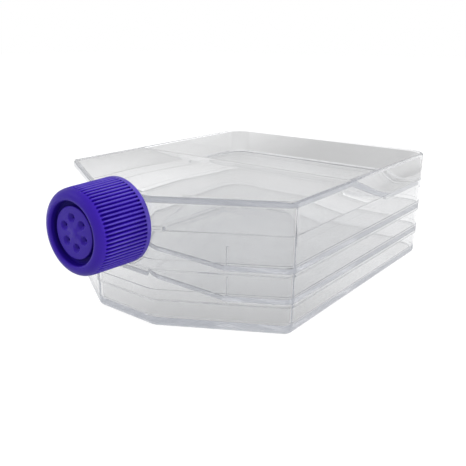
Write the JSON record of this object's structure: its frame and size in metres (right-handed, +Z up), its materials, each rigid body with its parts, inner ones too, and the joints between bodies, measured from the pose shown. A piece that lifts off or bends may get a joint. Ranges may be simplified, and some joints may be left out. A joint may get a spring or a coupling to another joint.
{
  "type": "cell culture flask",
  "caption": "Flat, clear, stacked-tray culture flask with sloping shoulders, a sunk rear top and a ribbed vented screw cap for growing cells on its inner plates.",
  "frame": {"origin": "middle of the underside of the whole object, cap included, on the table", "axes": "+X along the flask towards its back wall, so the neck and cap are at -X; +Y across it; +Z up"},
  "size_m": [0.178, 0.1202, 0.0567],
  "materials": {
    "clear_styrene": "water-clear moulded polystyrene, polished, with softly rounded edges",
    "cap_violet": "satin moulded polyethylene, deep blue-violet",
    "liner_white": "matt soft foam",
    "membrane_white": "matt fine-pored film",
    "ring_white": "matt moulded"
  },
  "bodies": {
    "flask": {"base_tray": "clear_styrene", "middle_tray": "clear_styrene", "upper_tray": "clear_styrene", "top_shell": "clear_styrene", "neck": "clear_styrene"},
    "liner": {"sealing_liner": "liner_white"},
    "cap": {"cap_shell": "cap_violet", "vent_membrane": "membrane_white", "membrane_ring": "ring_white"}
  },
  "joints": [
    {"name": "cap_travel", "type": "slide", "parent": "flask", "child": "liner", "axis": [-1, 0, 0], "range_m": [0, 0.00601]},
    {"name": "cap_turn", "type": "hinge", "parent": "liner", "child": "cap", "pos_m": [-0.06514, 0, 0.04], "axis": [-1, 0, 0], "range_deg": [0, 540]}
  ],
  "couplings": [
    {"joint": "cap_travel", "follows": "cap_turn", "m_per_rad": 0.00063662}
  ]
}
